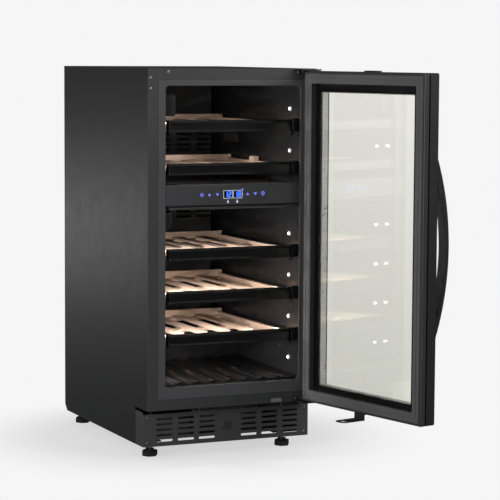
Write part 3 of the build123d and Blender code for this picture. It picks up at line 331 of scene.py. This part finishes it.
MATERIALS = {
    "black_paint": surface(
        "black_paint", grey(0.012), 0.4, tint=0.05, rough_change=0.02, bump=0.3, depth=0.04, grain=1700
    ),
    "charcoal_paint": surface(
        "charcoal_paint", grey(0.044, 1.05), 0.42, tint=0.05, rough_change=0.03, bump=0.25, depth=0.03
    ),
    "kick_paint": surface("kick_paint", grey(0.06), 0.38, tint=0.05, bump=0.3, depth=0.04),
    "base_steel": surface("base_steel", grey(0.018), 0.4, bump=0.25, depth=0.04),
    "hinge_steel": surface("hinge_steel", grey(0.018), 0.35, bump=0.2),
    "hasp_steel": surface("hasp_steel", grey(0.02), 0.36, bump=0.2),
    "slide_steel": surface("slide_steel", grey(0.012), 0.36, bump=0.15),
    "liner_plastic": surface("liner_plastic", grey(0.016, 1.03), 0.3, bump=0.2, grain=700, tint=0.06),
    "cover_plastic": surface("cover_plastic", grey(0.05), 0.3, bump=0.3, grain=900),
    "panel_plastic": surface("panel_plastic", grey(0.056, 1.06), 0.3, bump=0.06, rough_change=0.03),
    "gloss_divider": surface("gloss_divider", grey(0.012), 0.1, bump=0.05, rough_change=0.03),
    "trim_rubber": surface("trim_rubber", grey(0.03), 0.35, bump=0.15),
    "bar_plastic": surface("bar_plastic", grey(0.004), 0.2, bump=0.06, rough_change=0.04, specular=0.4),
    "tray_plastic": surface("tray_plastic", grey(0.006), 0.13, bump=0.1, rough_change=0.05),
    "cartridge_plastic": surface("cartridge_plastic", grey(0.035), 0.1, bump=0.08),
    "fan_plastic": surface("fan_plastic", grey(0.012), 0.4, bump=0.15),
    "gland_plastic": surface("gland_plastic", grey(0.014), 0.5, bump=0.2),
    "sensor_plastic": surface("sensor_plastic", grey(0.2), 0.45, bump=0.2),
    "door_inner_plastic": surface(
        "door_inner_plastic", grey(0.045, 1.04), 0.32, tint=0.04, rough_change=0.02, bump=0.1, grain=1100
    ),
    "door_outer_finish": surface("door_outer_finish", grey(0.02), 0.36, bump=0.2, grain=1300),
    "handle_finish": surface("handle_finish", grey(0.024), 0.34, bump=0.2, grain=1300),
    "bush_plastic": surface("bush_plastic", grey(0.03), 0.4, bump=0.15),
    "gasket_rubber": surface(
        "gasket_rubber",
        grey(0.11, 1.03),
        0.24,
        tint=0.04,
        rough_change=0.02,
        bump=0.04,
        grain=800,
        specular=0.8,
    ),
    "grommet_rubber": surface("grommet_rubber", grey(0.015), 0.75, bump=0.4, grain=600),
    "foot_rubber": surface("foot_rubber", grey(0.014), 0.6, bump=0.4, grain=700),
    "white_plastic": surface("white_plastic", grey(0.6), 0.4, bump=0.15, tint=0.05),
    "electronics_plastic": surface("electronics_plastic", grey(0.22), 0.5, bump=0.3, grain=900),
    "compressor_paint": surface("compressor_paint", grey(0.012), 0.24, bump=0.25, depth=0.1, grain=260),
    "foam": surface("foam", (0.62, 0.5, 0.3, 1), 0.95, bump=0.8, depth=0.6, grain=240),
    "galvanised_steel": surface(
        "galvanised_steel", grey(0.5), 0.36, metal=1.0, tint=0.2, blotch=45, stretch=(1, 1, 1), grain=420
    ),
    "screw_steel": surface("screw_steel", grey(0.45), 0.24, metal=1.0, stretch=(1, 0.1, 1)),
    "lock_chrome": surface("lock_chrome", grey(0.2), 0.18, metal=1.0, bump=0.04),
    "fin_aluminium": surface("fin_aluminium", grey(0.65), 0.34, metal=1.0, stretch=(1, 1, 0.05)),
    "spacer_aluminium": surface("spacer_aluminium", grey(0.75), 0.3, metal=0.5, stretch=(1, 1, 0.05)),
    "pipe_paint": surface("pipe_paint", grey(0.014), 0.4, bump=0.2),
    "display_window": surface("display_window", (0.003, 0.004, 0.012, 1), 0.08, bump=0.0, rough_change=0.02),
    # the door glass: a pale tint, painted lighter at the top and darker at the bottom as light and shade
    "clear_glass": clear_glass("clear_glass", (0.995, 0.993, 0.958, 1), (0.885, 0.888, 0.842, 1)),
    "led_light": lit_lens("led_light", 16.0, 0.12),
    "beech_wood": wood("beech_wood", 1),
}
BEECH_ACROSS = wood("beech_across", 0)
BLUE = glowing("display_blue", (0.05, 0.16, 1.0, 1), 1.5)
VIOLET = glowing("key_violet", (0.16, 0.19, 0.9, 1), 0.9)
PALE = glowing("key_pale", (0.72, 0.76, 0.9, 1), 0.3)

DOOR_INWARD = (-math.sin(OPEN), math.cos(OPEN), 0.0)
INWARD_AT_HINGE = HINGE_POINT.dot(Vector(DOOR_INWARD)) - HINGE_POINT.y
DOOR_OUTWARD = tuple(-part for part in DOOR_INWARD)
RECESS_DARK_Y = FACE - 14.8 * MM  # closed-door Y beyond which the door's inner frame, in the recess round the glass, is coloured near black
FLANGE_BACK = FACE + 2 * MM  # Y of the back of the liner's front flange
STUD_START = 16.2 * MM  # height of the steel stud above each foot's rubber
SPACER_HOLES = 4.0 * MM
# The door's inner frame is near black and glossier in the recess round the glass.
repaint(MATERIALS["door_inner_plastic"], DOOR_OUTWARD, -(RECESS_DARK_Y + INWARD_AT_HINGE), grey(0.004), 0.2)
# Painted highlight: the front flange of the one-piece liner is painted lighter and glossier than the rest of it,
# for the light falling on the cabinet's front.
repaint(MATERIALS["liner_plastic"], (0, -1, 0), -FLANGE_BACK, grey(0.085, 1.04), 0.24)
repaint(MATERIALS["foot_rubber"], (0, 0, 1), STUD_START, grey(0.55), 0.25, 1.0)
perforated(MATERIALS["spacer_aluminium"], SPACER_HOLES, grey(0.4))

for part in RECORD["subparts"]:
    mesh = NODES[part["node"]].data
    mesh.materials.clear()
    mesh.materials.append(MATERIALS[part["material_slot"]])


# ---- soft edges on the CAD pieces ---------------------------------------------------------------
def soften(piece, width, segments=2):
    """Rounded, evenly shaded edges, without moving the piece or changing its mesh."""
    piece.modifiers.new("weld", "WELD").merge_threshold = 1e-6
    planar = piece.modifiers.new("planar", "DECIMATE")
    planar.decimate_type = "DISSOLVE"
    planar.angle_limit = math.radians(0.4)
    bevel = piece.modifiers.new("bevel", "BEVEL")
    bevel.width = width
    bevel.segments = segments
    bevel.limit_method = "ANGLE"
    bevel.angle_limit = math.radians(38)
    bevel.miter_outer = "MITER_ARC"
    piece.modifiers.new("shade", "WEIGHTED_NORMAL").keep_sharp = False


SOFT_EDGES = {
    "front_frame": 0.5,
    "left_side_panel": 0.35,
    "right_side_panel": 0.35,
    "top_panel": 0.35,
    "back_panel": 0.3,
    "inner_liner": 0.5,
    "zone_divider": 0.4,
    "control_panel": 0.4,
    "bottle_tray": 0.4,
    "kickplate": 0.35,
    "base_pan": 0.4,
    "hinge_brackets": 0.4,
    "filter_cartridges": 1.2,
    "evaporator_covers": 0.4,
    "gasket": 0.9,
    "sensor_cover": 0.5,
    "divider_trim_bar": 0.3,
    "door_outer_frame": 0.5,
    "door_inner_frame": 0.5,
    "handle": 0.5,
    "lock_hasp": 0.3,
    "electronics_box": 0.8,
}
for name, width in SOFT_EDGES.items():
    soften(NODES[name], width * MM)
for number in range(1, 6):
    soften(NODES[f"shelf_{number}_bar_and_runners"], 0.6 * MM, 3)


# ---- mesh building ------------------------------------------------------------------------------
def new_piece(name, mesh_data, material, body, stands_for=()):
    """A named piece with its material, riding on a body."""
    mesh = bpy.data.meshes.new(name)
    mesh_data.to_mesh(mesh)
    mesh_data.free()
    mesh.materials.append(material)
    piece = bpy.data.objects.new(name, mesh)
    bpy.context.scene.collection.objects.link(piece)
    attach(piece, body)
    if stands_for:
        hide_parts(*stands_for)
    return piece


def smooth(piece, degrees=35):
    """Smooth shading up to an edge angle."""
    mesh = piece.data
    mesh.shade_smooth()
    mesh.set_sharp_from_angle(angle=math.radians(degrees))
    return piece


def add_board(mesh, low, high, edge, segments=2):
    """A board with rounded edges between two corners."""
    made = bmesh.ops.create_cube(mesh, size=1.0)
    size = high - low
    bmesh.ops.scale(mesh, vec=size, verts=made["verts"])
    bmesh.ops.translate(mesh, vec=(low + high) / 2, verts=made["verts"])
    edges = list({edge_ for vertex in made["verts"] for edge_ in vertex.link_edges})
    bmesh.ops.bevel(mesh, geom=edges, offset=edge, segments=segments, affect="EDGES", profile=0.5)


# ---- wooden racks -------------------------------------------------------------------------------
def add_cradle(mesh, low, high, slats, dip):
    """A cross-board under the slats, with a shallow hollow in each space between them."""
    edges = [low.x]
    for first, last in slats:
        edges += [first.x, last.x]
    edges.append(high.x)
    outline = []
    for left, right in zip(edges[::2], edges[1::2]):
        for step in range(13):
            along = step / 12
            drop = dip * (1 - (2 * along - 1) ** 2)
            outline.append((left + (right - left) * along, high.z - drop))
    outline += [(high.x, low.z), (low.x, low.z)]
    front = [mesh.verts.new((x, low.y, z)) for x, z in outline]
    back = [mesh.verts.new((x, high.y, z)) for x, z in outline]
    mesh.faces.new(front[::-1])
    mesh.faces.new(back)
    for index in range(len(outline)):
        after = (index + 1) % len(outline)
        mesh.faces.new((front[index], front[after], back[after], back[index]))


SLAT_WIDTHS = (15 * MM, 40 * MM)  # a long board whose width is between these is a slat
LONG_BOARD = 100 * MM
FULL_WIDTH = 200 * MM
CRADLE_DIP = 2 * MM
BOARD_EDGE = 0.8 * MM


def is_slat(low, high):
    return SLAT_WIDTHS[0] < high.x - low.x < SLAT_WIDTHS[1] and high.y - low.y > LONG_BOARD


def build_racks():
    """The boards of each rack with eased edges, the grain running along each board."""
    for number in range(1, 6):
        name = f"shelf_{number}_rack"
        runs = (bmesh.new(), bmesh.new())
        body = f"shelf_{number}"
        boards = islands(name)
        slats = sorted((board for board in boards if is_slat(*board)), key=lambda board: board[0].x)
        slat_underside = slats[0][0].z
        for low, high in boards:
            size = high - low
            if size.x > FULL_WIDTH and abs(high.z - slat_underside) < 1e-4:
                add_cradle(runs[0], low, high, slats, CRADLE_DIP)
            else:
                along = 1 if size.y > size.x else 0
                add_board(runs[along], low, high, BOARD_EDGE)
        smooth(new_piece(f"{body}_cross_rails", runs[0], BEECH_ACROSS, body))
        smooth(new_piece(f"{body}_slats", runs[1], MATERIALS["beech_wood"], body, (name,)))


build_racks()


# ---- display and touch keys ---------------------------------------------------------------------
PANEL_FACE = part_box("control_panel")[0].y
WINDOW_LOW, WINDOW_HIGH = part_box("display_module")
SIGN_THICK = 0.12 * MM

# sizes of the readings in their windows, in mm
WINDOW_GAP = 0.6
DIGIT_INSET = 2.4
DIGIT_PITCH = 8.2
DIGIT_WIDTH = 6.6
DIGIT_STROKE = 2.1


def add_prism(mesh, outline, face, thick=SIGN_THICK):
    """A thin closed sign. outline is (x, z) in mm, counter-clockwise, and face is the Y of its front."""
    front = [mesh.verts.new((x * MM, face, z * MM)) for x, z in outline]
    back = [mesh.verts.new((x * MM, face + thick, z * MM)) for x, z in outline]
    mesh.faces.new(front)
    mesh.faces.new(back[::-1])
    for index in range(len(outline)):
        after = (index + 1) % len(outline)
        mesh.faces.new((front[after], front[index], back[index], back[after]))


def rectangle(x0, x1, z0, z1):
    return [(x0, z0), (x1, z0), (x1, z1), (x0, z1)]


def disc(x, z, radius, count=20):
    turns = [2 * math.pi * index / count for index in range(count)]
    return [(x + radius * math.cos(turn), z + radius * math.sin(turn)) for turn in turns]


def add_arc(mesh, x, z, radius, width, start, end, face):
    """An open ring of short bars from start to end, in degrees."""
    steps = 14
    for index in range(steps):
        first = math.radians(start + (end - start) * index / steps)
        last = math.radians(start + (end - start) * (index + 1) / steps)
        inner, outer = radius - width / 2, radius + width / 2
        corners = [(inner, first), (outer, first), (outer, last), (inner, last)]
        add_prism(mesh, [(x + r * math.cos(turn), z + r * math.sin(turn)) for r, turn in corners], face)


SEGMENTS = {"1": "bc", "2": "abdeg", "8": "abcdefg"}


def add_digit(mesh, symbol, left, low, width, height, stroke, face):
    """A seven-segment digit."""
    right, top, middle = left + width, low + height, low + height / 2
    gap = 0.25
    bars = {
        "a": (left + gap, right - gap, top - stroke, top),
        "g": (left + gap, right - gap, middle - stroke / 2, middle + stroke / 2),
        "d": (left + gap, right - gap, low, low + stroke),
        "b": (right - stroke, right, middle + gap, top - gap),
        "c": (right - stroke, right, low + gap, middle - gap),
        "f": (left, left + stroke, middle + gap, top - gap),
        "e": (left, left + stroke, low + gap, middle - gap),
    }
    for lit in SEGMENTS[symbol]:
        add_prism(mesh, rectangle(*bars[lit]), face - (0.03 * MM if lit in "adg" else 0))


def build_signs():
    """Two lit readings, their pale window borders, and the plain symbols of the touch keys."""
    window = WINDOW_LOW.y - 0.2 * MM
    face = PANEL_FACE - 0.1 * MM
    low, high = WINDOW_LOW.z / MM, WINDOW_HIGH.z / MM
    left, right = WINDOW_LOW.x / MM, WINDOW_HIGH.x / MM
    middle = (left + right) / 2
    digits, borders, keys = bmesh.new(), bmesh.new(), bmesh.new()
    digit_low = low + DIGIT_INSET
    digit_height = high - low - 2 * DIGIT_INSET
    for start, reading in ((left, "12"), (middle + WINDOW_GAP, "18")):
        end = start + (right - left) / 2 - WINDOW_GAP
        for index, symbol in enumerate(reading):
            digit_left = start + 3.0 + index * DIGIT_PITCH
            add_digit(digits, symbol, digit_left, digit_low, DIGIT_WIDTH, digit_height, DIGIT_STROKE, window)
        for bar in (
            (start, end, low, low + 1.0),
            (start, end, high - 1.0, high),
            (start, start + 1.0, low + 1.0, high - 1.0),
            (end - 1.0, end, low + 1.0, high - 1.0),
        ):
            add_prism(borders, rectangle(*bar), window)
    centre = (low + high) / 2
    for x, up in ((-53.7, 1), (-35.7, -1), (32.8, 1), (50.3, -1)):
        outline = [(x - 3.4, centre - up * 2.4), (x + 3.4, centre - up * 2.4), (x, centre + up * 3.0)]
        add_prism(keys, outline if up > 0 else outline[::-1], face)
    add_arc(keys, -70.4, centre, 3.0, 1.3, 120, 420, face)
    add_prism(keys, rectangle(-71.1, -69.7, centre, centre + 4.0), face - 0.03 * MM)
    add_arc(keys, 67.5, centre + 1.0, 2.9, 1.6, -60, 240, face)
    add_prism(keys, rectangle(66.2, 68.8, centre - 4.2, centre - 1.4), face - 0.03 * MM)
    add_prism(keys, disc(right, high + 1.2, 1.9), face)
    for x in (-12.0, 9.0):
        add_prism(borders, rectangle(x - 1.9, x + 1.9, low - 9.6, low - 5.0), face)
        add_prism(borders, rectangle(x - 0.8, x + 0.8, low - 4.9, low - 2.6), face)
    add_prism(borders, disc(right + 0.2, centre, 1.1), face - 0.03 * MM)
    new_piece("display_digits", digits, BLUE, "cabinet")
    new_piece("display_borders", borders, PALE, "cabinet")
    new_piece("key_symbols", keys, VIOLET, "cabinet")


build_signs()


# ---- studio -------------------------------------------------------------------------------------
def build_studio():
    """A round pale floor whose rim curves up into a low wall on every side."""
    mesh = bmesh.new()
    flat, turn, around = 9.0, 1.6, 96
    profile = [(flat, 0.0)]
    for step in range(1, 17):
        angle = math.radians(90 * step / 16)
        profile.append((flat + turn * math.sin(angle), turn * (1 - math.cos(angle))))
    profile.append((flat + turn, 2.8))
    turns = [2 * math.pi * index / around for index in range(around)]
    rings = [[mesh.verts.new((r * math.cos(t), r * math.sin(t), z)) for t in turns] for r, z in profile]
    mesh.faces.new(rings[0])
    for lower, upper in zip(rings, rings[1:]):
        for index in range(around):
            after = (index + 1) % around
            mesh.faces.new((lower[index], upper[index], upper[after], lower[after]))
    data = bpy.data.meshes.new("studio_floor")
    mesh.to_mesh(data)
    mesh.free()
    data.shade_smooth()
    floor = bpy.data.objects.new("studio_floor", data)
    bpy.context.scene.collection.objects.link(floor)
    floor.location.z = -0.0002
    material, tree, shader, where = start_material("studio_paper")
    away = node(tree, "ShaderNodeVectorMath", operation="LENGTH")
    tree.links.new(where, away.inputs[0])
    for name, near, far in (("Base Color", 0.46, 0.0), ("Emission Strength", 0.6, 0.918)):
        fade = node(tree, "ShaderNodeMapRange", interpolation_type="SMOOTHSTEP")
        for socket, value in (("From Min", 0.24), ("From Max", 0.54), ("To Min", near), ("To Max", far)):
            fade.inputs[socket].default_value = value
        tree.links.new(away.outputs["Value"], fade.inputs["Value"])
        tree.links.new(fade.outputs["Result"], shader.inputs[name])
    shader.inputs["Roughness"].default_value = 1.0
    shader.inputs["Specular IOR Level"].default_value = 0.0
    shader.inputs["Emission Color"].default_value = (1, 1, 1, 1)
    data.materials.append(material)
    floor.visible_diffuse = False
    floor.visible_glossy = False
    return floor


def softbox(name, place, target, size, power):
    """A soft rectangular light that faces a point."""
    lamp = bpy.data.lights.new(name, "AREA")
    lamp.shape = "RECTANGLE"
    lamp.size, lamp.size_y = size
    lamp.energy = power
    light = bpy.data.objects.new(name, lamp)
    bpy.context.scene.collection.objects.link(light)
    light.location = place
    aim = Vector(target) - Vector(place)
    light.rotation_euler = aim.to_track_quat("-Z", "Y").to_euler()
    return light


build_studio()
softbox("key_left", (-3.2, -2.6, 1.35), (0, 0, 0.45), (1.2, 2.6), 80)
softbox("fill_right", (2.3, -3.5, 1.75), (0.1, 0, 0.45), (2.0, 1.5), 46)
softbox("overhead", (0.0, -0.6, 3.4), (0, 0, 0.4), (2.4, 2.4), 9)
softbox("side_band", (-1.35, 3.0, 0.2), (-0.2, 0, 0.45), (1.0, 0.36), 2.4)

world = bpy.data.worlds.new("room")
world.use_nodes = True
world.node_tree.nodes["Background"].inputs["Color"].default_value = (0.96, 0.98, 1.0, 1)
world.node_tree.nodes["Background"].inputs["Strength"].default_value = 0.1
bpy.context.scene.world = world
bpy.context.scene.view_settings.view_transform = "Standard"


def glow_lamps():
    """One small lamp in front of each light lens in the cavity, throwing its light inwards."""
    in_front = 5 * MM
    for number, (low, high) in enumerate(islands("led_lenses")):
        middle = (low + high) / 2
        inward = -1 if middle.x > 0 else 1
        lamp = bpy.data.lights.new(f"led_{number}", "SPOT")
        lamp.energy = 1.25
        lamp.spot_size = math.radians(168)
        lamp.spot_blend = 0.8
        lamp.shadow_soft_size = 0.003
        light = bpy.data.objects.new(f"led_{number}", lamp)
        bpy.context.scene.collection.objects.link(light)
        light.location = (middle.x + inward * in_front, middle.y, middle.z)
        light.rotation_euler = Vector((inward, 0, 0)).to_track_quat("-Z", "Y").to_euler()
        light.visible_camera = False
        light.visible_glossy = False


glow_lamps()


# ---- camera -------------------------------------------------------------------------------------
def build_camera(place, yaw, pitch, roll, lens):
    """A camera that looks along yaw, measured from +Y towards +X, and pitch, downwards, in degrees."""
    yaw, pitch, roll = (math.radians(angle) for angle in (yaw, pitch, roll))
    right = Vector((math.cos(yaw), -math.sin(yaw), 0))
    look = Vector((math.sin(yaw) * math.cos(pitch), math.cos(yaw) * math.cos(pitch), -math.sin(pitch)))
    up = right.cross(look)
    right, up = right * math.cos(roll) + up * math.sin(roll), up * math.cos(roll) - right * math.sin(roll)
    lens_data = bpy.data.cameras.new("camera")
    lens_data.lens = lens
    lens_data.sensor_width = 36.0
    camera = bpy.data.objects.new("camera", lens_data)
    bpy.context.scene.collection.objects.link(camera)
    turn = Matrix((right, up, -look)).transposed()
    camera.matrix_world = Matrix.Translation(place) @ turn.to_4x4()
    bpy.context.scene.camera = camera


build_camera(Vector((-1.6985, -4.1221, 0.8504)), 24.21, 5.60, 0.34, 147.0)
